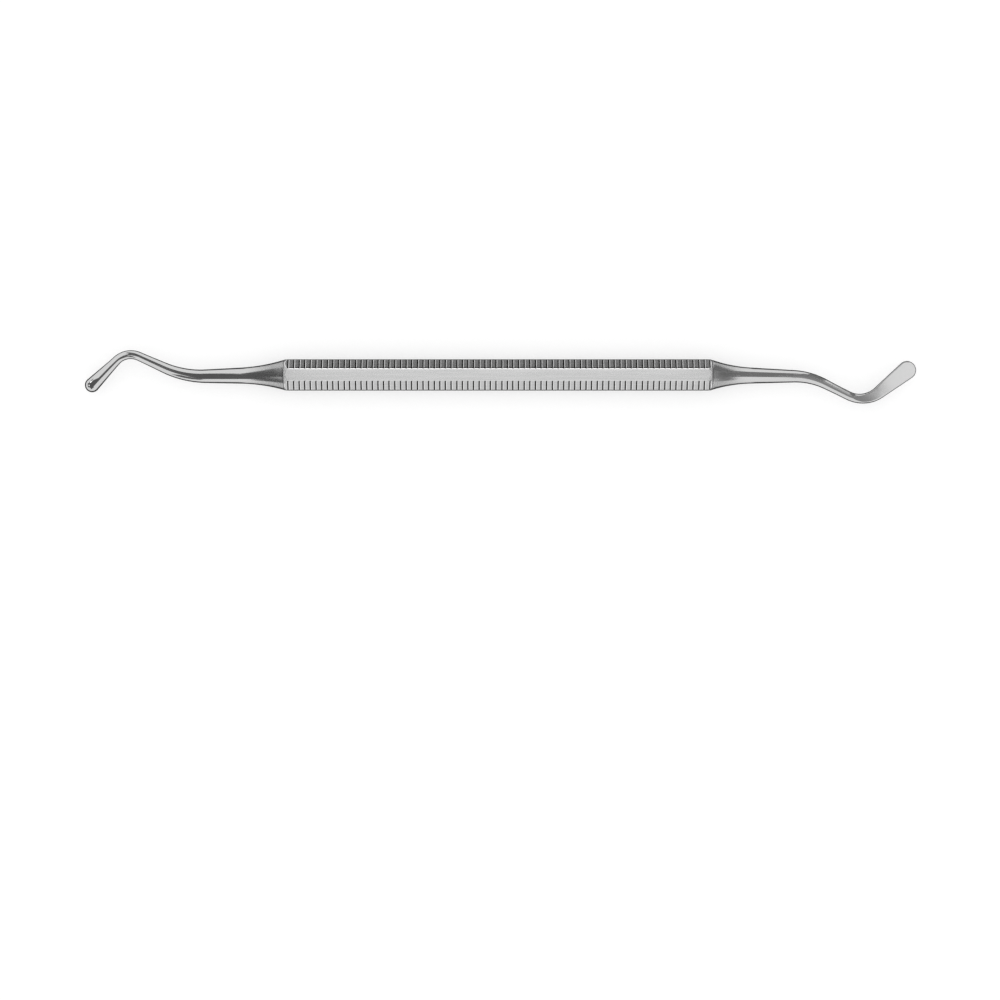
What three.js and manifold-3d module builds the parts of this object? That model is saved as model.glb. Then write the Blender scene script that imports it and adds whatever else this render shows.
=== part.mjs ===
// A double-ended dental filling instrument: an eight-sided handle bar with a plugger at one end and a
// paddle spatula at the other. Each working end is one turned, bent piece whose tang is brazed into a
// blind bore in the handle. Millimetres, +Z up, X along the handle, all bends in the XY plane.
// The origin is the middle of the handle's underside flat, on which the instrument lies.

import * as THREE from 'three';
import { mergeVertices } from 'three/addons/utils/BufferGeometryUtils.js';
import Module from 'manifold-3d';

const wasm = await Module();
wasm.setup();

// ---- Driving dimensions (mm, degrees) ----

const handleLength = 87.5;
const handleAcrossFlats = 6.35;   // quarter-inch eight-sided bar
const endStep = 0.075;            // how far the end face's rim and the shank's base sit in from the flats
const endChamferAngle = 24;       // slope of the turned end chamfer, from the handle's axis

const groovePitch = 1.15;         // wanted spacing, evened out over the handle's length
const grooveWidth = 0.27;
const grooveDepth = 0.15;
const grooveEndMargin = 0.03;     // of each corner bevel left whole past the grooves' ends
const grooveFromPluggerEnd = 0.85;
const grooveFromPaddleEnd = 0.45;

const boreDiameter = 3.2;
const boreDepth = 12;
const drillPointAngle = 59;       // half angle of the bore's conical bottom
const brazeGap = 0.05;            // radial clearance that the braze fills
const tangEndGap = 1;             // left at the bore's bottom, so the shoulder seats first
const tangChamfer = 0.3;

const leanAngle = -0.95;          // each neck leans a little below the handle's axis
const leanRadius = 30;

// Each shank: diameters along its turned blank, then the two bends made after turning.
// A positive bend turns the tip towards +Y. Distances run from the handle's end face.
const plugger = {
  flareLength: 9,                 // concave flare from the handle's end down to the neck
  neckDiameter: 3.28,
  waistDiameter: 1.8,
  waistStart: 30,
  waistEnd: 35.5,
  tipCentre: 42.5,                // centre of the ball
  tipRadius: 1.5,
  firstBendAt: 16.1,
  firstBendRadius: 19.8,
  firstBendAngle: 25.1,
  betweenBends: 5.7,
  secondBendRadius: 4.1,
  secondBendAngle: -69.2,
};

const paddle = {
  flareLength: 8,
  neckDiameter: 3.28,
  waistDiameter: 1.84,
  waistStart: 25.2,
  waistEnd: 30.6,
  tipCentre: 42.75,               // centre of the blade's round end
  tipRadius: 1.87,
  firstBendAt: 16.8,
  firstBendRadius: 14.8,
  firstBendAngle: -25.7,
  betweenBends: 5.3,
  secondBendRadius: 5.9,
  secondBendAngle: 65.1,
  blade: {
    start: 30.2,                  // where the ground flats begin to bite
    heel: 37,                     // where they settle to the blade's own taper
    heelThickness: 1.0,
    tipThickness: 0.55,
  },
};

// ---- Fineness ----

const turnedSides = 20;           // sides of each shank, tang and bore
const flareSteps = 10;
const bendSteps = 9;              // rings within each bend
const roundEndSteps = 7;
const chamferSides = 40;

// ---- Worked out ----

const handleHalf = handleLength / 2;
const axisHeight = handleAcrossFlats / 2;
const endRadius = axisHeight - endStep;
const cornerSetback = grooveDepth * Math.SQRT2 + grooveEndMargin;   // from a sharp corner to its bevel
const boreRadius = boreDiameter / 2;
const eighthTurn = Math.PI / 4;
const radians = THREE.MathUtils.degToRad;

// ---- Solids from geometry, for joining and cutting ----

function solidOf(geometry) {
  const positions = geometry.clone();
  positions.deleteAttribute('normal');
  positions.deleteAttribute('uv');
  const merged = mergeVertices(positions);
  const vertProperties = new Float32Array(merged.attributes.position.array);
  const triVerts = new Uint32Array(merged.index.array);
  return new wasm.Manifold(new wasm.Mesh({ numProp: 3, vertProperties, triVerts }));
}

function geometryOf(solid) {
  const { vertProperties, triVerts, numProp } = solid.getMesh();
  const geometry = new THREE.BufferGeometry();
  const attribute = new THREE.BufferAttribute(new Float32Array(vertProperties), numProp);
  geometry.setAttribute('position', attribute);
  geometry.setIndex(new THREE.BufferAttribute(new Uint32Array(triVerts), 1));
  geometry.computeVertexNormals();
  return geometry;
}

// A turned solid whose profile runs [distance along +X, radius], starting and ending on the axis.
function turned(profile, sides) {
  const points = profile.map(([along, radius]) => new THREE.Vector2(radius, along));
  const geometry = new THREE.LatheGeometry(points, sides);
  geometry.rotateZ(-Math.PI / 2);
  return geometry;
}

// ---- Handle ----

// The bar's section: eight flats joined by small corner bevels, two flats level with the XY plane.
// The bevels are wide enough for the grooves to end in them, clear of the smooth flats.
function barSection() {
  const apothem = axisHeight;
  const halfFlat = apothem * Math.tan(eighthTurn / 2) - cornerSetback;
  const section = new THREE.Shape();
  for (let side = 0; side < 8; side += 1) {
    for (const along of [-halfFlat, halfFlat]) {
      const point = new THREE.Vector2(apothem, along).rotateAround(new THREE.Vector2(), side * eighthTurn);
      if (side === 0 && along < 0) {
        section.moveTo(point.x, point.y);
      } else {
        section.lineTo(point.x, point.y);
      }
    }
  }
  section.closePath();
  return section;
}

function barSolid() {
  const bar = new THREE.ExtrudeGeometry(barSection(), { depth: handleLength, bevelEnabled: false });
  bar.rotateY(Math.PI / 2);
  bar.translate(-handleHalf, 0, 0);
  return solidOf(bar);
}

// A turned envelope that leaves the bar's middle alone and chamfers both ends.
function endEnvelope() {
  const clearRadius = handleAcrossFlats;
  const chamferRun = (clearRadius - endRadius) / Math.tan(radians(endChamferAngle));
  return solidOf(turned([
    [-handleHalf, 0],
    [-handleHalf, endRadius],
    [-handleHalf + chamferRun, clearRadius],
    [handleHalf - chamferRun, clearRadius],
    [handleHalf, endRadius],
    [handleHalf, 0],
  ], chamferSides));
}

// A blind bore from the +X end face, with its drilled point.
function boreSolid() {
  const bottom = handleHalf - boreDepth;
  const pointRun = boreRadius / Math.tan(radians(drillPointAngle));
  const pastFace = 1;
  return solidOf(turned([
    [bottom - pointRun, 0],
    [bottom, boreRadius],
    [handleHalf + pastFace, boreRadius],
    [handleHalf + pastFace, 0],
  ], turnedSides));
}

// Straight cross-cuts on the four sloping faces; the level and upright faces stay smooth.
function grooveCutters() {
  const first = -handleHalf + grooveFromPluggerEnd;
  const span = handleLength - grooveFromPluggerEnd - grooveFromPaddleEnd;
  const gaps = Math.round(span / groovePitch);
  const floor = axisHeight - grooveDepth;
  const cutterHeight = 1;
  const cutters = [];
  for (let face = 0; face < 4; face += 1) {
    for (let groove = 0; groove <= gaps; groove += 1) {
      const cutter = new THREE.BoxGeometry(grooveWidth, handleAcrossFlats, cutterHeight);
      cutter.translate(first + groove * span / gaps, 0, floor + cutterHeight / 2);
      cutter.rotateX(eighthTurn + face * 2 * eighthTurn);
      cutters.push(solidOf(cutter));
    }
  }
  return wasm.Manifold.union(cutters);
}

function handleGeometry() {
  const paddleBore = boreSolid();
  const pluggerBore = paddleBore.rotate([0, 180, 0]);
  const bar = barSolid().intersect(endEnvelope());
  return geometryOf(bar.subtract(grooveCutters()).subtract(paddleBore).subtract(pluggerBore));
}

// ---- Working ends, each built pointing along +X from the handle's end face at x = 0 ----

// Radius of the concave flare: an arc that starts at the end face and runs into the neck's taper.
function flareRadiusAt(along, shank) {
  const neckRadius = shank.neckDiameter / 2;
  const taper = (shank.waistDiameter / 2 - neckRadius) / (shank.waistStart - shank.flareLength);
  const normal = new THREE.Vector2(-taper, 1).normalize();
  const chord = new THREE.Vector2(-shank.flareLength, endRadius - neckRadius);
  const arcRadius = chord.lengthSq() / (2 * chord.dot(normal));
  const centre = new THREE.Vector2(shank.flareLength, neckRadius).addScaledVector(normal, arcRadius);
  return centre.y - Math.sqrt(arcRadius ** 2 - (along - centre.x) ** 2);
}

// The angle of the straight side that leaves the waist and just touches the round tip.
function tipSideAngle(shank) {
  const run = shank.tipCentre - shank.waistEnd;
  const waistRadius = shank.waistDiameter / 2;
  return Math.asin(shank.tipRadius / Math.hypot(run, waistRadius)) - Math.atan2(waistRadius, run);
}

function straight(length) {
  return { length, turn: 0 };
}

function bend(radius, degrees) {
  const turn = radians(degrees);
  return { length: radius * Math.abs(turn), turn };
}

// The centreline as a chain of straights and bends, from the end face to past the tip.
function centrelineRuns(shank) {
  const lean = bend(leanRadius, leanAngle);
  return [
    lean,
    straight(shank.firstBendAt - lean.length),
    bend(shank.firstBendRadius, shank.firstBendAngle),
    straight(shank.betweenBends),
    bend(shank.secondBendRadius, shank.secondBendAngle),
    straight(Infinity),
  ];
}

// Position and heading on the centreline at a distance from the end face.
function centrelineAt(distance, shank) {
  const point = new THREE.Vector2(Math.min(distance, 0), 0);
  let heading = 0;
  let left = Math.max(distance, 0);
  for (const run of centrelineRuns(shank)) {
    const travel = Math.min(left, run.length);
    const turn = run.turn * travel / run.length || 0;
    const chord = turn === 0 ? travel : travel * Math.sin(turn / 2) / (turn / 2);
    point.x += chord * Math.cos(heading + turn / 2);
    point.y += chord * Math.sin(heading + turn / 2);
    heading += turn;
    left -= travel;
  }
  return { point, heading };
}

// Distances at which the blank gets a ring, so that every bend is smooth.
function ringDistances(shank) {
  const rings = [];
  let start = 0;
  for (const run of centrelineRuns(shank)) {
    const end = Math.min(start + run.length, shank.tipCentre);
    const steps = run.turn === 0 ? 1 : bendSteps;
    for (let step = 1; step <= steps; step += 1) {
      rings.push(start + (end - start) * step / steps);
    }
    start = end;
  }
  for (let step = 1; step <= flareSteps; step += 1) {
    rings.push(shank.flareLength * step / flareSteps);
  }
  rings.push(shank.waistStart, shank.waistEnd);
  return rings;
}

function blankRadiusAt(along, shank) {
  const waistRadius = shank.waistDiameter / 2;
  if (along <= shank.flareLength) {
    return flareRadiusAt(along, shank);
  }
  if (along <= shank.waistStart) {
    return THREE.MathUtils.mapLinear(
      along, shank.flareLength, shank.waistStart, shank.neckDiameter / 2, waistRadius);
  }
  return waistRadius + Math.max(along - shank.waistEnd, 0) * Math.tan(tipSideAngle(shank));
}

// The turned blank's profile: tang, shoulder, flare, neck, waist, straight-sided head, round tip.
function blankProfile(shank) {
  const tangRadius = boreRadius - brazeGap;
  const tangLength = boreDepth - tangEndGap;
  const sideAngle = tipSideAngle(shank);
  const tangent = shank.tipCentre - shank.tipRadius * Math.sin(sideAngle);
  const smallestStep = 0.15;
  const profile = [
    [-tangLength, 0],
    [-tangLength, tangRadius - tangChamfer],
    [-tangLength + tangChamfer, tangRadius],
    [0, tangRadius],
    [0, endRadius],
  ];
  let last = 0;
  for (const along of ringDistances(shank).sort((a, b) => a - b)) {
    if (along - last > smallestStep && tangent - along > smallestStep) {
      profile.push([along, blankRadiusAt(along, shank)]);
      last = along;
    }
  }
  for (let step = 0; step <= roundEndSteps; step += 1) {
    const angle = (Math.PI / 2 + sideAngle) * (1 - step / roundEndSteps);
    const radius = step === roundEndSteps ? 0 : shank.tipRadius * Math.sin(angle);
    profile.push([shank.tipCentre + shank.tipRadius * Math.cos(angle), radius]);
  }
  return profile;
}

// Half the blade's thickness: a run-out from the round shank, then a slight taper to the tip.
function bladeHalfThickness(along, shank) {
  const { start, heel, heelThickness, tipThickness } = shank.blade;
  const tipEnd = shank.tipCentre + shank.tipRadius;
  const taper = THREE.MathUtils.mapLinear(along, heel, tipEnd, heelThickness / 2, tipThickness / 2);
  const runOut = THREE.MathUtils.clamp((heel - along) / (heel - start), 0, 1);
  const rise = shank.waistDiameter / 2 - THREE.MathUtils.mapLinear(
    start, heel, tipEnd, heelThickness / 2, tipThickness / 2);
  return taper + rise * runOut ** 2;
}

// Turns the blank, presses the blade flat if it has one, then bends it along the centreline.
function workingEndGeometry(shank) {
  const geometry = turned(blankProfile(shank), turnedSides);
  const position = geometry.attributes.position;
  for (let index = 0; index < position.count; index += 1) {
    const along = position.getX(index);
    const across = position.getY(index);
    let height = position.getZ(index);
    if (shank.blade && along > shank.blade.start) {
      const limit = bladeHalfThickness(along, shank);
      height = THREE.MathUtils.clamp(height, -limit, limit);
    }
    const { point, heading } = centrelineAt(along, shank);
    const bentX = point.x - across * Math.sin(heading);
    const bentY = point.y + across * Math.cos(heading);
    position.setXYZ(index, bentX, bentY, height);
  }
  return geometryOf(solidOf(geometry));
}

// ---- Assembly ----

function steel(color, roughness) {
  return new THREE.MeshStandardMaterial({ color, roughness, metalness: 1 });
}

const handle = new THREE.Mesh(handleGeometry(), steel(0xc4c5c6, 0.32));
handle.name = 'handle';

const paddleEnd = new THREE.Mesh(workingEndGeometry(paddle), steel(0xcbcccd, 0.2));
paddleEnd.name = 'paddle_end';
paddleEnd.position.x = handleHalf;

const pluggerEnd = new THREE.Mesh(workingEndGeometry(plugger), steel(0xc8c9ca, 0.18));
pluggerEnd.name = 'plugger_end';
pluggerEnd.position.x = -handleHalf;
pluggerEnd.rotation.y = Math.PI;

const instrument = new THREE.Group();
instrument.position.z = axisHeight;
instrument.add(handle, pluggerEnd, paddleEnd);

export default instrument;
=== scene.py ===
import math
import random

import bpy
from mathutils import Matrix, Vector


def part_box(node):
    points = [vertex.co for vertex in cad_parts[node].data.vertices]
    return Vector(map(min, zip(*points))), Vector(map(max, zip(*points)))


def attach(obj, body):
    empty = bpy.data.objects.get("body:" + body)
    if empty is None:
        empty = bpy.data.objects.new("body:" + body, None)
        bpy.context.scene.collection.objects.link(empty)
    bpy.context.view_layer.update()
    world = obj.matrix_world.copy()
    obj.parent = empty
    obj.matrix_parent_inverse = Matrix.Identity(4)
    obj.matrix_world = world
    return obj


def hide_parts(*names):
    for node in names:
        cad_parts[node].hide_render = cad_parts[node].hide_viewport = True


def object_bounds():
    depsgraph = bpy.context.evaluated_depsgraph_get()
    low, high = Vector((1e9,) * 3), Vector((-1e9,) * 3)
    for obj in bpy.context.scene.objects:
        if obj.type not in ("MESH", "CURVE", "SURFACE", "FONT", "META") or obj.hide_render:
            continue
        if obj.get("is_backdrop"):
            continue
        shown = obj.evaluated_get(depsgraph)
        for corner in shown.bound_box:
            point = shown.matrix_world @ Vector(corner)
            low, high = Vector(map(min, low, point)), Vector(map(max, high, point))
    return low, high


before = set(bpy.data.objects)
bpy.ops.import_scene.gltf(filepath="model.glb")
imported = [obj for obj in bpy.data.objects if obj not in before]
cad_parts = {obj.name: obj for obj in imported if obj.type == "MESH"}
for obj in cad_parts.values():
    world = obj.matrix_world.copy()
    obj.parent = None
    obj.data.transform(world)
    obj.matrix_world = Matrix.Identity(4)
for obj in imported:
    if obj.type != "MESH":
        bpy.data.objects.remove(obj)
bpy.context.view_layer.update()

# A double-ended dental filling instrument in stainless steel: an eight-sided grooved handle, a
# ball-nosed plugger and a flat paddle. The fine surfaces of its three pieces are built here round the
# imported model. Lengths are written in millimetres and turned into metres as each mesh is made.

MM = 0.001
FULL_TURN = 2 * math.pi
EIGHTH = math.pi / 4


# ---- Sizes ----

handle_low, handle_high = (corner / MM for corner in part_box("handle"))
HANDLE_HALF = (handle_high.x - handle_low.x) / 2
APOTHEM = (handle_high.z - handle_low.z) / 2     # from the handle's axis to a flat
AXIS_HEIGHT = (handle_high.z + handle_low.z) / 2

CORNER_RADIUS = 0.58          # rounding of the bar's long corners
END_STEP = 0.075              # the shank's base sits this far in from the flats
END_RADIUS = APOTHEM - END_STEP
END_CHAMFER = math.radians(24)
CHAMFER_RUN = 0.75            # the length of each end that the chamfer can reach
CHAMFER_BLEND = 0.03          # rounding where the chamfer meets the flats
DRESSED_FADE = 0.02           # depth of cut at which the dressed finish is full
DRESSED_RIM_HIGHLIGHT = 0.03            # depth of the painted highlight line where the dressed end begins
SEAM_WANDER = 0.016

BORE_RADIUS = 1.6
BORE_DEPTH = 12
BORE_LEAD = 1                 # the first ring of the bore, in from the end face
DRILL_POINT = math.radians(59)
BRAZE_GAP = 0.05
TANG_END_GAP = 1
TANG_CHAMFER = 0.3
TANG_LEAD = 1                 # the last ring of the tang, back from the shoulder

GROOVE_PITCH = 1.15
GROOVE_WIDTH = 0.27
GROOVE_DEPTH = 0.15
GROOVE_LIP = 0.025            # rolled edge on the side where the cutter enters
GROOVE_BURR = 0.12            # and the wider one where it leaves
GROOVE_RUN_OUT = 0.55         # share of the depth that is lost at the flat's edges
GROOVE_WANDER = 0.045         # how far a hand-fed groove strays from its even place
GROOVE_SHALLOWEST = 0.85      # share of the depth
GROOVE_DEEPEST = 1.12
GROOVE_SEED = 8
# The lips are coloured near white: a painted highlight along the groove edges.
LIP_OUTER_PAINTED_HIGHLIGHT = 0.8
LAND_HOLD = 0.015             # ring that keeps the land beside a lip flat
RING_CLEARANCE = 0.01
GROOVE_WALL = (               # (distance out from the wall, share of the depth, share of painted highlight)
    (0.004, 0.08, 1), (-0.008, 0.95, 0), (-0.04, 1.0, 0))
GROOVE_FROM_PLUGGER_END = 0.85
GROOVE_FROM_PADDLE_END = 0.45

LEAN_RADIUS = 30
LEAN_ANGLE = -0.95

PLUGGER = {
    "flare": 9, "neck": 3.28, "waist": 1.8, "waist_start": 30, "waist_end": 35.5,
    "tip": 42.5, "tip_radius": 1.5,
    "bends": [(16.1, 19.8, 25.1), (5.7, 4.1, -69.2)],   # straight before it, radius, degrees
}
PADDLE = {
    "flare": 8, "neck": 3.28, "waist": 1.84, "waist_start": 25.2, "waist_end": 30.6,
    "tip": 42.75, "tip_radius": 1.87,
    "bends": [(16.8, 14.8, -25.7), (5.3, 5.9, 65.1)],
}
BLADE_START = 30.2            # where the ground flats begin to bite
BLADE_HEEL = 37               # where they settle to the blade's own taper
BLADE_HEEL_HALF = 0.5
BLADE_TIP_HALF = 0.275
BLADE_EDGE = 0.3              # how far in from the outline the blade's edge is rounded
BLADE_BLEND = 0.05            # rounding where a ground flat meets the round shank
BLADE_GROUND = 0.06           # depth of cut at which the ground finish is full
HEEL_FADE = 2                 # the ground finish starts over this far on each side of the heel
BLADE_EDGE_PAINTED_DARK = (0.1, 0.19)       # how far in from the outline the painted dark edge, a painted reflection, ends
EDGE_FADE = 4                 # it comes in over this length
FLARE_MATTE = (0.2, 0.95)     # shares of the flare over which its matte finish, darkened partly as painted reflection, ends
SEAM_REACH = (0.05, 0.45)     # how far from the seam its ragged mark, darkened as painted shade, ends
SEAM_LIP = 0.05               # rounding of the shank's rim at the seam
SEAM_SETTLE = 0.16            # how far from the seam the rounding ends
SEAM_RING = 0.02              # the first ring out from the seam
SEAM_RING_LIP = 0.6           # and how much of the rounding it still has
FIRST_RING = 0.07             # where the even rings begin
GROUND_SHARE = 0.75           # share of BLADE_EDGE at which the ground finish starts
BLANK_EASE = 0.12             # blend between the neck, the waist and the tip's side
RING_STEP = 0.2               # between the rings of a shank
TIP_RINGS = 26


# ---- Arithmetic ----

def mix(a, b, share):
    return a + (b - a) * share


def clamp(value, low=0.0):
    """value held between low and 1."""
    return max(low, min(1.0, value))


def smooth_step(low, high, value):
    share = clamp((value - low) / (high - low))
    return share * share * (3 - 2 * share)


def soft_min(a, b, blend):
    """The smaller of a and b, with the corner where they cross rounded over blend."""
    share = clamp(0.5 + 0.5 * (b - a) / blend)
    return mix(b, a, share) - blend * share * (1 - share)


def soft_max(a, b, blend):
    return -soft_min(-a, -b, blend)


def spaced(start, end, step):
    """Even steps from start to just before end."""
    count = max(1, round((end - start) / step))
    return [start + (end - start) * index / count for index in range(count)]


# ---- Meshes ----

def ring_solid(name, rings, marks):
    """A closed mesh through rings of points (mm), each end closed by a single point. Every point is
    (place, blank, mark values): its place, its place on the straight blank, and its masks."""
    places, blanks, values = [], [], []
    starts = []
    for ring in rings:
        starts.append(len(places))
        for place, blank, point_marks in ring:
            places.append([value * MM for value in place])
            blanks.append(blank)
            values.append(point_marks)
    faces = []
    for index in range(len(rings) - 1):
        near, far = rings[index], rings[index + 1]
        a, b = starts[index], starts[index + 1]
        count = max(len(near), len(far))
        for point in range(count):
            following = (point + 1) % count
            if len(near) == 1:
                faces.append((a, b + following, b + point))
            elif len(far) == 1:
                faces.append((a + point, a + following, b))
            else:
                faces.append((a + point, a + following, b + following, b + point))
    mesh = bpy.data.meshes.new(name)
    mesh.from_pydata(places, [], faces)
    blank_layer = mesh.attributes.new("blank", "FLOAT_VECTOR", "POINT")
    blank_layer.data.foreach_set("vector", [value for blank in blanks for value in blank])
    for order, mark in enumerate(marks):
        layer = mesh.attributes.new(mark, "FLOAT", "POINT")
        layer.data.foreach_set("value", [row[order] for row in values])
    mesh.shade_smooth()
    mesh.validate()
    piece = bpy.data.objects.new(name, mesh)
    bpy.context.scene.collection.objects.link(piece)
    return piece


# ---- Handle ----

FLAT_POINTS = 9               # crowded towards the flat's edges
CORNER_POINTS = 6
END_RINGS = 16
END_CROWDING = 1.4            # draws the end rings towards the end face


def bar_section():
    """Points round the bar's section as (y, z, normal angle, is it on a corner)."""
    points = []
    half_flat = (APOTHEM - CORNER_RADIUS) * math.tan(EIGHTH / 2)
    for side in range(8):
        angle = side * EIGHTH
        for index in range(FLAT_POINTS):
            across = -half_flat * math.cos(math.pi * index / (FLAT_POINTS - 1))
            y = APOTHEM * math.cos(angle) - across * math.sin(angle)
            z = APOTHEM * math.sin(angle) + across * math.cos(angle)
            points.append((y, z, angle, 0.0))
        reach = (APOTHEM - CORNER_RADIUS) / math.cos(EIGHTH / 2)
        centre_y = reach * math.cos(angle + EIGHTH / 2)
        centre_z = reach * math.sin(angle + EIGHTH / 2)
        for index in range(1, CORNER_POINTS + 1):
            normal = angle + EIGHTH * index / (CORNER_POINTS + 1)
            y = centre_y + CORNER_RADIUS * math.cos(normal)
            z = centre_z + CORNER_RADIUS * math.sin(normal)
            points.append((y, z, normal, 1.0))
    return points


def groove_centres(chance):
    """(place along X, share of the depth) of each groove, a little uneven as if fed by hand."""
    first = -HANDLE_HALF + GROOVE_FROM_PLUGGER_END
    span = 2 * HANDLE_HALF - GROOVE_FROM_PLUGGER_END - GROOVE_FROM_PADDLE_END
    gaps = round(span / GROOVE_PITCH)
    centres = []
    for index in range(gaps + 1):
        off = 0 if index in (0, gaps) else chance.uniform(-GROOVE_WANDER, GROOVE_WANDER)
        depth_share = chance.uniform(GROOVE_SHALLOWEST, GROOVE_DEEPEST)
        centres.append((first + index * span / gaps + off, depth_share))
    return centres


def groove_stations(centre):
    """(distance along X, share of the groove's depth, share of the lip's painted highlight) across one
    groove.
    """
    half = GROOVE_WIDTH / 2
    stations = []
    for side, lip, painted_highlight in ((-1, GROOVE_LIP, 0.0), (1, GROOVE_BURR, 1.0)):
        for offset, depth, bright in ((lip + LAND_HOLD, 0, 0), (lip, 0, LIP_OUTER_PAINTED_HIGHLIGHT)) + GROOVE_WALL:
            stations.append((centre + side * (half + offset), depth, bright * painted_highlight))
    return stations


def handle_stations(chance):
    """(x, groove depth, share of the lip's painted highlight) for every ring along the handle."""
    stations = {}
    for index in range(END_RINGS + 1):
        inset = CHAMFER_RUN * (index / END_RINGS) ** END_CROWDING
        stations[round(HANDLE_HALF - inset, 5)] = (0, 0)
        stations[round(-HANDLE_HALF + inset, 5)] = (0, 0)
    clear = GROOVE_WIDTH / 2 + GROOVE_BURR + LAND_HOLD + RING_CLEARANCE
    for centre, depth_share in groove_centres(chance):
        for x in [x for x in stations if abs(x - centre) <= clear and abs(x) < HANDLE_HALF]:
            del stations[x]
        for x, share, lip in groove_stations(centre):
            stations[round(x, 5)] = (GROOVE_DEPTH * depth_share * share, lip)
    return sorted((x, depth, lip) for x, (depth, lip) in stations.items())


def seam_wander(angle, side):
    """How far the dressed end strays, round the seam, as the file left it (mm)."""
    phase = 1.7 if side > 0 else 0.4
    slow = math.sin(5 * angle + phase) + 0.7 * math.sin(11 * angle + 2 * phase)
    quick = 0.6 * math.sin(23 * angle + 3 * phase) + 0.5 * math.sin(41 * angle + phase)
    return SEAM_WANDER * (slow + quick)


# The lip and rim marks carry painted highlights on the groove lips and where a dressed end begins.
HANDLE_MARKS = ("groove", "lip", "corner", "dressed", "rim")
TOUCH = 1e-6                  # a cut shallower than this is none
FACING = 0.95                 # how squarely a point must face out to count as on a grooved flat


def handle_ring(x, depth, lip, section):
    inset = HANDLE_HALF - abs(x)
    face_half = APOTHEM * math.tan(EIGHTH / 2)
    ring = []
    for y, z, normal, on_corner in section:
        cut = 0.0
        for face in range(4):
            facing = EIGHTH * (2 * face + 1)
            aside = (z * math.cos(facing) - y * math.sin(facing)) / face_half
            bite = depth * max(1 - GROOVE_RUN_OUT * aside ** 2, 0.0)
            over = y * math.cos(facing) + z * math.sin(facing) - (APOTHEM - bite)
            if depth > 0 and over > TOUCH:
                y -= over * math.cos(facing)
                z -= over * math.sin(facing)
                cut = over / GROOVE_DEPTH
        radius = math.hypot(y, z)
        angle = math.atan2(z, y)
        turned = END_RADIUS + inset * math.tan(END_CHAMFER) + seam_wander(angle, x)
        limit = soft_min(radius, turned, CHAMFER_BLEND)
        dressed = smooth_step(0.0, DRESSED_FADE, radius - limit)
        rim = dressed * (1 - smooth_step(DRESSED_RIM_HIGHLIGHT, 2 * DRESSED_RIM_HIGHLIGHT, radius - limit))
        y *= limit / radius
        z *= limit / radius
        sloping = abs(math.cos(2 * (normal - EIGHTH))) > FACING
        marks = (clamp(cut), lip if sloping else 0.0, on_corner, dressed, rim)
        ring.append(((x, y, z + AXIS_HEIGHT), (x, y, z), marks))
    return ring


BORE_MARKS = (0.0,) * len(HANDLE_MARKS)


def round_ring(x, radius, section):
    """A ring of the bore, with a point at each angle of the bar's section."""
    ring = []
    for y, z, _, _ in section:
        angle = math.atan2(z, y)
        y, z = radius * math.cos(angle), radius * math.sin(angle)
        ring.append(((x, y, z + AXIS_HEIGHT), (x, y, z), BORE_MARKS))
    return ring


def bore_rings(side, section):
    """Rings from the end face down the blind bore to its drilled point."""
    bottom = HANDLE_HALF - BORE_DEPTH
    point = bottom - BORE_RADIUS / math.tan(DRILL_POINT)
    rings = [round_ring(side * x, BORE_RADIUS, section)
             for x in (HANDLE_HALF, HANDLE_HALF - BORE_LEAD, bottom)]
    rings.append([((side * point, 0, AXIS_HEIGHT), (side * point, 0, 0), BORE_MARKS)])
    return rings


def make_handle():
    chance = random.Random(GROOVE_SEED)
    section = bar_section()
    body = [handle_ring(x, depth, lip, section) for x, depth, lip in handle_stations(chance)]
    rings = bore_rings(-1, section)[::-1] + body + bore_rings(1, section)
    return ring_solid("handle_bar", rings, HANDLE_MARKS)


# ---- Shanks ----

def straights_and_bends(shank):
    """The centreline as (length, turn) runs from the end face to past the tip."""
    lean = math.radians(LEAN_ANGLE)
    runs = [(LEAN_RADIUS * abs(lean), lean)]
    used = runs[0][0]
    for straight, radius, degrees in shank["bends"]:
        turn = math.radians(degrees)
        runs.append((straight - used, 0.0))
        runs.append((radius * abs(turn), turn))
        used = 0
    runs.append((math.inf, 0.0))
    return runs


def centreline(shank, along):
    """(x, y, heading) at a distance from the end face; the tang runs back along -X."""
    x, y, heading = min(along, 0.0), 0.0, 0.0
    left = max(along, 0.0)
    for length, whole_turn in straights_and_bends(shank):
        travel = min(left, length)
        turn = whole_turn * travel / length if whole_turn else 0.0
        chord = travel * math.sin(turn / 2) / (turn / 2) if turn else travel
        x += chord * math.cos(heading + turn / 2)
        y += chord * math.sin(heading + turn / 2)
        heading += turn
        left -= travel
    return x, y, heading


def flare_radius(shank, along):
    """The concave arc that runs from the end face into the neck's taper."""
    root = shank["neck"] / 2
    taper = (shank["waist"] / 2 - root) / (shank["waist_start"] - shank["flare"])
    length = math.hypot(taper, 1)
    normal_x, normal_y = -taper / length, 1 / length
    chord_x, chord_y = -shank["flare"], END_RADIUS - root
    arc = (chord_x ** 2 + chord_y ** 2) / (2 * (chord_x * normal_x + chord_y * normal_y))
    centre_x = shank["flare"] + arc * normal_x
    centre_y = root + arc * normal_y
    return centre_y - math.sqrt(arc ** 2 - (along - centre_x) ** 2)


def tip_side_angle(shank):
    """The angle of the straight side that leaves the waist and just touches the round tip."""
    run = shank["tip"] - shank["waist_end"]
    waist = shank["waist"] / 2
    return math.asin(shank["tip_radius"] / math.hypot(run, waist)) - math.atan2(waist, run)


def blank_radius(shank, along):
    waist = shank["waist"] / 2
    if along <= shank["flare"]:
        return flare_radius(shank, along)
    taper = (waist - shank["neck"] / 2) / (shank["waist_start"] - shank["flare"])
    neck = shank["neck"] / 2 + taper * (along - shank["flare"])
    side = waist + (along - shank["waist_end"]) * math.tan(tip_side_angle(shank))
    return soft_max(soft_max(neck, waist, BLANK_EASE), side, BLANK_EASE)


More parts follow.
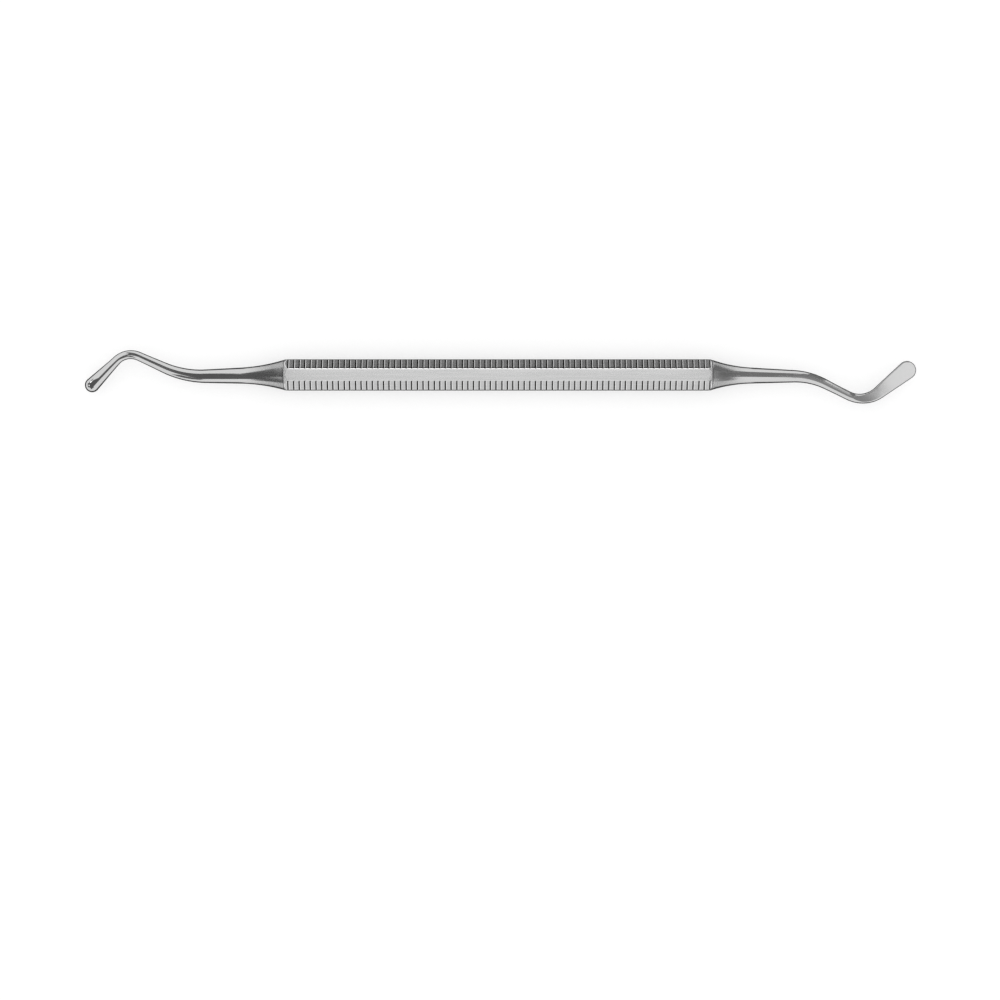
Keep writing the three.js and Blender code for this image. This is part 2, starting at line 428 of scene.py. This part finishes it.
def blade_half_thickness(shank, along):
    """Half the blade's thickness: a run-out from the round shank, then a slight taper to the tip."""
    end = shank["tip"] + shank["tip_radius"]
    def taper(place):
        return mix(BLADE_HEEL_HALF, BLADE_TIP_HALF, (place - BLADE_HEEL) / (end - BLADE_HEEL))
    run_out = clamp((BLADE_HEEL - along) / (BLADE_HEEL - BLADE_START))
    rise = shank["waist"] / 2 - taper(BLADE_START)
    return taper(along) + rise * run_out ** 2


def inside_outline(shank, along, across):
    """Distance from the blade's outline, seen flat on, to a point inside it."""
    from_end = shank["tip_radius"] - math.hypot(along - shank["tip"], across)
    angle = tip_side_angle(shank)
    tangent = shank["tip"] - shank["tip_radius"] * math.sin(angle)
    if along > tangent:
        return max(from_end, 0.0)
    return max((blank_radius(shank, along) - abs(across)) * math.cos(angle), 0.0)


def shank_point(shank, along, across, height, flatness=0.0, rim=None):
    x, y, heading = centreline(shank, along)
    place = (x - across * math.sin(heading), y + across * math.cos(heading), height)
    flare = 1 - smooth_step(*FLARE_MATTE, along / shank["flare"])
    seam = 1 - smooth_step(*SEAM_REACH, along)
    # The edge mark paints a dark line round the blade's outline: a painted reflection of dark
    # surroundings.
    edge = smooth_step(BLADE_START, BLADE_START + EDGE_FADE, along) if rim is not None else 0.0
    edge *= 1 - smooth_step(*BLADE_EDGE_PAINTED_DARK, rim or 0.0)
    return place, (along, across, height), (flatness, flare, seam, edge)


SHANK_MARKS = ("ground", "flare", "seam", "edge")
PLUGGER_POINTS = 56           # round each ring
PADDLE_POINTS = 96
BLADE_CROWDING = 0.42         # draws a ring's points towards the blade's two edges


def shank_ring(shank, along, radius, points, has_blade):
    ring = []
    for index in range(points):
        even = FULL_TURN * index / points
        angle = even - BLADE_CROWDING * math.sin(2 * even) if has_blade else even
        across, height = radius * math.cos(angle), radius * math.sin(angle)
        flatness, rim = 0.0, None
        if has_blade and along > BLADE_START:
            half = blade_half_thickness(shank, along)
            rim = inside_outline(shank, along, across)
            depth = clamp(rim / BLADE_EDGE)
            limit = half * math.sqrt(1 - (1 - depth) ** 2)
            flat = soft_min(abs(height), limit, BLADE_BLEND * clamp(depth * 3, 0.001))
            flatness = smooth_step(0.0, BLADE_GROUND, abs(height) - flat)
            flatness *= smooth_step(GROUND_SHARE, 1.0, depth)
            flatness *= smooth_step(BLADE_HEEL - HEEL_FADE, BLADE_HEEL + HEEL_FADE, along)
            height = math.copysign(max(flat, 0.0), height)
        ring.append(shank_point(shank, along, across, height, flatness, rim))
    return ring


def shank_rings(shank, points, has_blade):
    tang = BORE_RADIUS - BRAZE_GAP
    tang_end = TANG_END_GAP - BORE_DEPTH
    rings = [[shank_point(shank, tang_end, 0, 0)]]
    for along, radius in ((tang_end, tang - TANG_CHAMFER), (tang_end + TANG_CHAMFER, tang),
                          (-TANG_LEAD, tang), (0.0, tang),
                          (0.0, END_RADIUS - SEAM_LIP),
                          (SEAM_RING, END_RADIUS - SEAM_RING_LIP * SEAM_LIP)):
        rings.append(shank_ring(shank, along, radius, points, False))
    angle = tip_side_angle(shank)
    tangent = shank["tip"] - shank["tip_radius"] * math.sin(angle)
    for along in spaced(FIRST_RING, tangent, RING_STEP):
        settle = SEAM_LIP * (1 - smooth_step(0.0, SEAM_SETTLE, along))
        rings.append(shank_ring(shank, along, blank_radius(shank, along) - settle, points, has_blade))
    for step in range(TIP_RINGS):
        polar = (math.pi / 2 + angle) * (1 - step / TIP_RINGS)
        along = shank["tip"] + shank["tip_radius"] * math.cos(polar)
        radius = shank["tip_radius"] * math.sin(polar)
        rings.append(shank_ring(shank, along, radius, points, has_blade))
    end = shank["tip"] + shank["tip_radius"]
    rings.append([shank_point(shank, end, 0, 0, rim=0.0 if has_blade else None)])
    return rings


def make_shank(name, shank, side, points, has_blade=False):
    """One working end, turned over about Y for the -X end so that its bends keep their side."""
    rings = []
    for ring in shank_rings(shank, points, has_blade):
        placed = []
        for (x, y, z), blank, marks in ring:
            placed.append(((side * (HANDLE_HALF + x), y, side * z + AXIS_HEIGHT), blank, marks))
        rings.append(placed)
    return ring_solid(name, rings, SHANK_MARKS)


# ---- Shader arithmetic ----

GRAIN_DEPTH = 0.01 * MM       # the height of the finest grain


class Value:
    """A shader socket that can be used in ordinary arithmetic."""

    def __init__(self, tree, socket):
        self.tree = tree
        self.socket = socket

    def maths(self, operation, *others):
        sockets = {index: value for index, value in enumerate((self,) + others)}
        return self.tree.add("ShaderNodeMath", {"operation": operation}, sockets)

    def __add__(self, other):
        return self.maths("ADD", other)

    __radd__ = __add__

    def __sub__(self, other):
        return self.maths("SUBTRACT", other)

    def __rsub__(self, other):
        return (self * -1.0) + other

    def __mul__(self, other):
        return self.maths("MULTIPLY", other)

    __rmul__ = __mul__


class Tree:
    """A node tree that is filled by add(), and the patterns that the finishes share."""

    def __init__(self, node_tree):
        self.node_tree = node_tree
        node_tree.nodes.clear()

    def add(self, kind, settings=None, sockets=None, output=0):
        node = self.node_tree.nodes.new(kind)
        for name, value in (settings or {}).items():
            setattr(node, name, value)
        for name, value in (sockets or {}).items():
            if isinstance(value, Value):
                self.node_tree.links.new(value.socket, node.inputs[name])
            else:
                node.inputs[name].default_value = value
        return Value(self, node.outputs[output]) if len(node.outputs) else None

    def mark(self, name):
        return self.add("ShaderNodeAttribute", {"attribute_name": name}, output=2)

    def blank(self, stretch):
        """The place on the straight blank, in mm, scaled along and across it."""
        place = self.add("ShaderNodeAttribute", {"attribute_name": "blank"}, output=1)
        return self.add("ShaderNodeVectorMath", {"operation": "MULTIPLY"}, {0: place, 1: stretch})

    def grain(self, stretch, detail, rough=0.5):
        sockets = {"Vector": self.blank(stretch), "Scale": 1.0, "Detail": detail, "Roughness": rough}
        return self.add("ShaderNodeTexNoise", {"noise_dimensions": "3D"}, sockets)

    def between(self, value, low, high, out_low=0.0, out_high=1.0):
        """value from low to high, eased, as out_low to out_high."""
        sockets = {"Value": value, "From Min": low, "From Max": high,
                   "To Min": out_low, "To Max": out_high}
        return self.add("ShaderNodeMapRange", {"interpolation_type": "SMOOTHSTEP"}, sockets)

    def blend(self, share, first, second):
        """One colour or link turning into another as share goes from 0 to 1."""
        sockets = {0: share, 6: first, 7: second}
        return self.add("ShaderNodeMix", {"data_type": "RGBA"}, sockets, output=2)

    def metal(self, colour, metallic, roughness, height, strength):
        bump = self.add("ShaderNodeBump", None, {
            "Height": height, "Strength": strength, "Distance": GRAIN_DEPTH})
        shader = self.add("ShaderNodeBsdfPrincipled", None, {
            "Base Color": colour, "Metallic": metallic, "Roughness": roughness, "Normal": bump})
        self.add("ShaderNodeOutputMaterial", None, {"Surface": shader})


def grey(level, warmth=0.0):
    return (level * (1 + warmth), level, level * (1 - warmth), 1.0)


def new_finish(name):
    material = bpy.data.materials.new(name)
    material.use_nodes = True
    return material, Tree(material.node_tree)


def handle_finish():
    """Satin drawn bar: fine lengthwise grain, painted shade darkening the grooves, painted highlights on
    the groove lips and where a dressed end begins, burnished corners.
    """
    material, tree = new_finish("satin_bar_steel")
    fine = tree.grain((1.4, 60, 60), 3.0, 0.6)
    broad = tree.grain((0.12, 3, 3), 2.0)
    scratch = tree.grain((0.5, 150, 150), 1.0)
    nicks = tree.grain((9, 9, 9), 1.0)
    groove = tree.between(tree.mark("groove"), 0.08, 0.3)
    burnished = tree.mark("corner")
    dressed = tree.mark("dressed")
    lip = tree.mark("lip")
    rim = tree.mark("rim")
    grit = tree.grain((9, 9, 9), 3.0, 0.7)
    pit = tree.between(nicks, 0.235, 0.2)
    steel = tree.blend(fine, grey(0.49), grey(0.575))
    steel = tree.blend(tree.between(broad, 0.35, 0.7) * 0.5, steel, grey(0.6))
    steel = tree.blend(dressed, steel, tree.blend(tree.between(grit, 0.3, 0.6), grey(0.62), grey(0.4)))
    # The rim's near-white colour and lowered metallic are a painted highlight where a dressed end
    # begins.
    steel = tree.blend(rim, steel, grey(0.92))
    steel = tree.blend(pit * 0.5, steel, grey(0.25))
    # The grooves' near-black colour is painted shade, standing in for the shade that falls in these
    # narrow cuts.
    painted_groove_shade = tree.blend(broad, grey(0.012, 0.05), grey(0.03, 0.08))
    # Near-white lips with lowered metallic are a painted highlight along the groove edges.
    steel = tree.blend(lip, steel, grey(0.92))
    colour = tree.blend(groove, steel, painted_groove_shade)
    roughness = 0.2 + 0.08 * fine + 0.04 * broad - 0.12 * burnished + 0.1 * dressed + 0.3 * groove
    height = fine * 0.5 + tree.between(scratch, 0.68, 0.75) * 0.8 - pit * 1.5 - dressed * nicks
    tree.metal(colour, 1.0 - 0.7 * lip - 0.6 * rim, roughness, height, 0.35)
    return material


BLADE_GREY = 0.68


def shank_finish(name):
    """Polished shank with a matte, hand-dressed flare darkened partly as painted reflection, satin
    ground flats where it has a blade, painted shade at the seam and a painted dark reflection along the
    blade's edge.
    """
    material, tree = new_finish(name)
    ground = tree.mark("ground")
    flare = tree.mark("flare")
    seam = tree.mark("seam")
    along_grain = tree.grain((0.7, 22, 22), 3.0, 0.6)
    cross_grain = tree.grain((26, 3.5, 3.5), 2.0, 0.6)
    cloud = tree.grain((0.9, 0.9, 0.9), 2.0)
    grit = tree.grain((9, 9, 9), 3.0, 0.7)
    edge = tree.mark("edge")
    speck = tree.between(tree.grain((5, 5, 5), 1.0), 0.2, 0.17)
    # The ragged seam mark is filed relief in the bump, and its near-black colour is painted shade at the
    # joint.
    rag = tree.between(grit + seam * 0.35, 0.72, 0.85) * seam
    steel = tree.blend(along_grain, grey(0.6), grey(0.66))
    # The flare's darker grey is partly its gritty dressed finish and partly painted reflection of the
    # dark band it shows.
    steel = tree.blend(flare * tree.between(grit, 0.3, 0.6), steel, grey(0.33))
    satin = tree.blend(along_grain, grey(BLADE_GREY), grey(BLADE_GREY + 0.05))
    steel = tree.blend(ground, steel, satin)
    steel = tree.blend(rag * 0.8, steel, grey(0.12))
    # Painted reflection: the blade's edge is coloured dark to stand for the dark surroundings it
    # reflects.
    steel = tree.blend(edge, steel, grey(0.12))
    colour = tree.blend(speck * 0.6, steel, grey(0.85))
    roughness = 0.06 + 0.05 * cloud + 0.03 * along_grain + 0.2 * flare * grit + 0.3 * ground
    height = along_grain * 0.25 + flare * (cross_grain * 0.4 + grit) + ground * along_grain - speck * 0.7
    tree.metal(colour, 1.0 - 0.6 * ground, roughness, height - rag * 2.0, 0.3)
    return material


# ---- Studio ----

# Card levels: 1 is as bright as the sky. Rises are above the handle's axis, and a fade is the share
# of the way to its middle over which a card comes in.
PLUGGER_DARK = 0.125
PADDLE_DARK = 0.23
SHANK_RISE = 50
SHANK_FADE = 0.12
HEEL_DARK = 0.32
HEEL_RISE = 25
HEEL_FADE_OUT = 0.14
EDGE_THINNING = 0.05

FLAG_GREY = 0.3
STRIP_DARK = 0.01
FAR_BAR = 2.2
NEAR_BAR = 1.2
BOX_HALF = 47                 # half the length of the light box's back
BAR_HALF = 46
BOX_BACK = 18                 # from the handle's axis to the back
BAR_INNER = 5                 # and to the bars' inner edges
BOX_TOP = 20                  # heights above the axis
FLAG_TOP = 3
FLAG_DROP = 14                # and the flag's foot below it

BALL_DARK = 0.12              # the star over the ball
STAR_RISE = 3.2
STAR_FADE = 0.1
GLINT_BRIGHT = 2.4            # the ball's highlights
GLINT_RISE = 3.0
GLINT_FADE = 0.2
GLINT_HALF = 0.5
BOUNCE = 0.9                  # the cards beside the flares
BOUNCE_LIFT = 0.1             # above the floor
BOUNCE_FADE = 0.15

FLOOR_HALF = 4.0              # metres
FLOOR_PAINT = 0.5
FLOOR_GLOW = 0.56
SKY_BRIGHT = 1.0
SKY_DARK = 0.06
SKY_FALL = (-0.42, -0.28)     # heights between which the sky goes from dark to bright


def card(name, outline, level, fade):
    """A flat reflector that only polished surfaces see: it lights and shades nothing else. It thins
    out towards its outline over the share fade of the way to its middle."""
    count = len(outline)
    middle = [sum(point[axis] for point in outline) / count for axis in range(3)]
    inner = [[mix(value, middle[axis], fade) for axis, value in enumerate(point)] for point in outline]
    faces = [tuple(range(count, 2 * count))]
    for index in range(count):
        following = (index + 1) % count
        faces.append((index, following, count + following, count + index))
    mesh = bpy.data.meshes.new(name)
    mesh.from_pydata([[value * MM for value in point] for point in list(outline) + inner], [], faces)
    cover = mesh.attributes.new("cover", "FLOAT", "POINT")
    cover.data.foreach_set("value", [0.0] * count + [1.0] * count)
    material, tree = new_finish(name)
    glow = tree.add("ShaderNodeEmission", None, {"Color": grey(1.0), "Strength": level})
    clear = tree.add("ShaderNodeBsdfTransparent")
    surface = tree.add("ShaderNodeMixShader", None, {0: tree.mark("cover"), 1: clear, 2: glow})
    tree.add("ShaderNodeOutputMaterial", None, {"Surface": surface})
    mesh.materials.append(material)
    piece = bpy.data.objects.new(name, mesh)
    bpy.context.scene.collection.objects.link(piece)
    piece.visible_camera = False
    piece.visible_diffuse = False
    piece.visible_shadow = False
    piece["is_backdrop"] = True


def overhead_card(name, side, outline, level, rise, fade):
    """A card over one working end. Its outline is given as (distance out from the handle's end, y)."""
    height = AXIS_HEIGHT + rise
    card(name, [(side * (HANDLE_HALF + out), y, height) for out, y in outline], level, fade)


def level_card(name, half_length, y_range, rise, level):
    y0, y1 = y_range
    z = AXIS_HEIGHT + rise
    outline = [(-half_length, y0, z), (half_length, y0, z), (half_length, y1, z), (-half_length, y1, z)]
    card(name, outline, level, EDGE_THINNING)


def upright_card(name, x_range, y, z_range, level):
    (x0, x1), (z0, z1) = x_range, z_range
    card(name, [(x0, y, z0), (x1, y, z0), (x1, y, z1), (x0, y, z1)], level, EDGE_THINNING)


def plugger_cards():
    """Dark cards for the bands along the plugger's shank."""
    outlines = {
        "plugger_neck_card": [(9, 16), (28, 16), (32, -15), (32, -64), (9, -64)],
        "plugger_low_card": [
            (24, -50), (34, -22), (62, -80), (100, -150), (100, -185), (60, -150), (32, -120)],
        "plugger_high_card": [
            (11, 2), (15, 24), (20, 38), (27, 55), (40, 80),
            (54, 112), (68, 112), (50, 70), (40, 36), (36, -6)],
        "plugger_tip_card": [(28, 6), (45, 6), (42, -16), (28, -20)],
    }
    for name, outline in outlines.items():
        overhead_card(name, -1, outline, PLUGGER_DARK, SHANK_RISE, SHANK_FADE)


def paddle_cards():
    """Dark cards for the bands along the paddle's shank, and a nearer one for the blade's heel."""
    outlines = {
        "paddle_neck_card": [(11, 71), (11, -21), (32, -21), (42, 20), (46, 71)],
        "paddle_high_card": [(24, 30), (44, 100), (62, 150), (112, 150), (70, 71), (46, 20)],
        "paddle_low_card": [
            (20, 2), (25, -36), (34, -80), (44, -105), (64, -105), (50, -70), (40, -36), (36, 2)],
    }
    for name, outline in outlines.items():
        overhead_card(name, 1, outline, PADDLE_DARK, SHANK_RISE, SHANK_FADE)
    heel = [(20, 6), (38, 6), (39, -14), (20, -16)]
    overhead_card("paddle_heel_card", 1, heel, HEEL_DARK, HEEL_RISE, HEEL_FADE_OUT)
    upright_card("paddle_far_flag", (117, 170), 165, (-80, 80), PADDLE_DARK)


def handle_cards():
    """A light box round the handle: a grey flag and a dark strip behind it, two bright bars above."""
    flag_top = AXIS_HEIGHT + FLAG_TOP
    box_top = AXIS_HEIGHT + BOX_TOP
    flag_range, strip_range = (AXIS_HEIGHT - FLAG_DROP, flag_top), (flag_top, box_top)
    box_range = (-BOX_HALF, BOX_HALF)
    upright_card("handle_flag", box_range, BOX_BACK, flag_range, FLAG_GREY)
    upright_card("handle_dark_strip", box_range, BOX_BACK, strip_range, STRIP_DARK)
    level_card("handle_far_bar", BAR_HALF, (BAR_INNER, BOX_BACK), BOX_TOP, FAR_BAR)
    level_card("handle_near_bar", BAR_HALF, (-BOX_BACK, -BAR_INNER), BOX_TOP, NEAR_BAR)


def ball_cards():
    """A small dark star close over the ball, with two highlights under it."""
    ball_out, ball_y, _ = centreline(PLUGGER, PLUGGER["tip"])
    star = [(7.5, 3.4), (3.4, 2.0), (2.6, 5.4), (0.8, 2.4), (-1.6, 1.8), (-2.4, -0.4), (-1.0, -1.8),
            (1.0, -3.8), (3.0, -2.6), (6.5, -4.8)]
    star = [(ball_out + out, ball_y + y) for out, y in star]
    overhead_card("plugger_ball_card", -1, star, BALL_DARK, STAR_RISE, STAR_FADE)
    for name, out, y in (("ball_high_light", 1.3, 2.0), ("ball_end_light", 2.3, -0.4)):
        corners = [(out - GLINT_HALF, y - GLINT_HALF), (out + GLINT_HALF, y - GLINT_HALF),
                   (out + GLINT_HALF, y + GLINT_HALF), (out - GLINT_HALF, y + GLINT_HALF)]
        corners = [(ball_out + out, ball_y + y) for out, y in corners]
        overhead_card(name, -1, corners, GLINT_BRIGHT, GLINT_RISE, GLINT_FADE)


def bounce_cards():
    """Pale cards on the floor beside each flare, which keep its dark outline thin."""
    for end, side in (("plugger", -1), ("paddle", 1)):
        for edge, near in (("far", 1), ("near", -1)):
            outline = [(1, 7.5 * near), (9, 7.5 * near), (12, 20 * near), (1, 20 * near)]
            name = end + "_bounce_" + edge
            overhead_card(name, side, outline, BOUNCE, BOUNCE_LIFT - AXIS_HEIGHT, BOUNCE_FADE)


def make_floor():
    half = FLOOR_HALF
    corners = [(-half, -half, 0), (half, -half, 0), (half, half, 0), (-half, half, 0)]
    mesh = bpy.data.meshes.new("floor")
    mesh.from_pydata(corners, [], [(0, 1, 2, 3)])
    material, tree = new_finish("pale_floor")
    paint = tree.add("ShaderNodeBsdfPrincipled", None, {
        "Base Color": grey(FLOOR_PAINT), "Roughness": 0.9, "Specular IOR Level": 0.1,
        "Emission Color": grey(1.0), "Emission Strength": FLOOR_GLOW})
    tree.add("ShaderNodeOutputMaterial", None, {"Surface": paint})
    mesh.materials.append(material)
    floor = bpy.data.objects.new("floor", mesh)
    bpy.context.scene.collection.objects.link(floor)
    floor.visible_glossy = False
    floor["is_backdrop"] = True


def make_sky():
    """An even pale dome that falls to dark well below the horizon, where only steel edges look."""
    world = bpy.data.worlds.new("soft_studio")
    world.use_nodes = True
    bpy.context.scene.world = world
    tree = Tree(world.node_tree)
    direction = tree.add("ShaderNodeTexCoord")
    height = tree.add("ShaderNodeSeparateXYZ", None, {0: direction}, output=2)
    level = tree.between(height, *SKY_FALL, SKY_DARK, SKY_BRIGHT)
    glow = tree.add("ShaderNodeBackground", None, {"Color": grey(1.0), "Strength": level})
    tree.add("ShaderNodeOutputWorld", None, {"Surface": glow})


def make_camera():
    """Straight down on the plane of the bends through a long lens."""
    lens, sensor = 180.0, 36.0
    view_width, across, aside = 204.7 * MM, -25.6 * MM, -0.1 * MM
    data = bpy.data.cameras.new("camera")
    data.lens = lens
    data.sensor_width = sensor
    camera = bpy.data.objects.new("camera", data)
    low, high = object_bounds()
    distance = view_width * lens / sensor
    camera.location = ((low.x + high.x) / 2 + aside, across, distance + AXIS_HEIGHT * MM)
    data.clip_start = 0.01
    bpy.context.scene.collection.objects.link(camera)
    bpy.context.scene.camera = camera


# ---- Assembly ----

handle = make_handle()
plugger = make_shank("plugger_shank", PLUGGER, -1, PLUGGER_POINTS)
paddle = make_shank("paddle_shank", PADDLE, 1, PADDLE_POINTS, has_blade=True)

handle.data.materials.append(handle_finish())
plugger.data.materials.append(shank_finish("polished_plugger_steel"))
paddle.data.materials.append(shank_finish("polished_paddle_steel"))

for piece, node, slot in ((handle, "handle", "handle_steel"),
                          (plugger, "plugger_end", "plugger_steel"),
                          (paddle, "paddle_end", "paddle_steel")):
    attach(piece, "root")
    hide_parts(node)

make_floor()
make_sky()
plugger_cards()
paddle_cards()
handle_cards()
ball_cards()
bounce_cards()
make_camera()
bpy.context.scene.view_settings.view_transform = "Standard"
